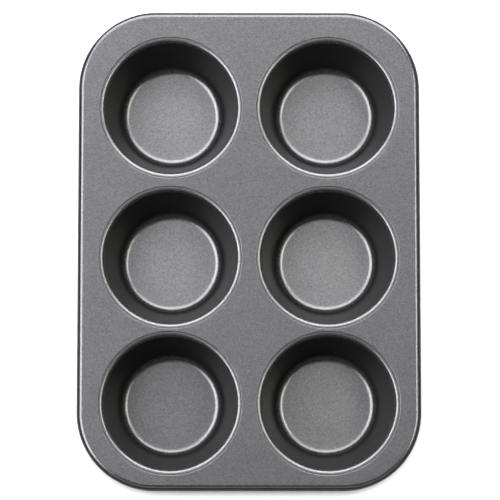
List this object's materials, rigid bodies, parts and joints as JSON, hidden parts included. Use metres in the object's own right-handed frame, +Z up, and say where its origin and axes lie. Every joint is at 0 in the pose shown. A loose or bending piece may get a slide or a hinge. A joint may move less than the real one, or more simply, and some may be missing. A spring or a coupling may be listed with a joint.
{
  "type": "muffin pan",
  "caption": "Rectangular muffin pan: tapered round steel cups seated flush in a flat pierced sheet with a rolled, wire-stiffened edge, for baking muffins and cupcakes.",
  "frame": {"origin": "on the surface the pan stands on, under the middle of its rectangular outline", "axes": "+Z up out of the cup mouths, +Y towards the back of the pan along its long side (the top of the picture), +X to its right"},
  "size_m": [0.19, 0.2666, 0.038],
  "materials": {
    "sheet_coating": "satin dark grey non-stick coating with a fine metallic fleck",
    "cup_coating": "satin dark grey non-stick coating with a fine metallic fleck",
    "wire_steel": "bright drawn steel wire"
  },
  "bodies": {
    "root": {"frame_sheet": "sheet_coating", "rim_wire": "wire_steel", "cup_back_left": "cup_coating", "cup_back_right": "cup_coating", "cup_middle_left": "cup_coating", "cup_middle_right": "cup_coating", "cup_front_left": "cup_coating", "cup_front_right": "cup_coating"}
  },
  "joints": []
}
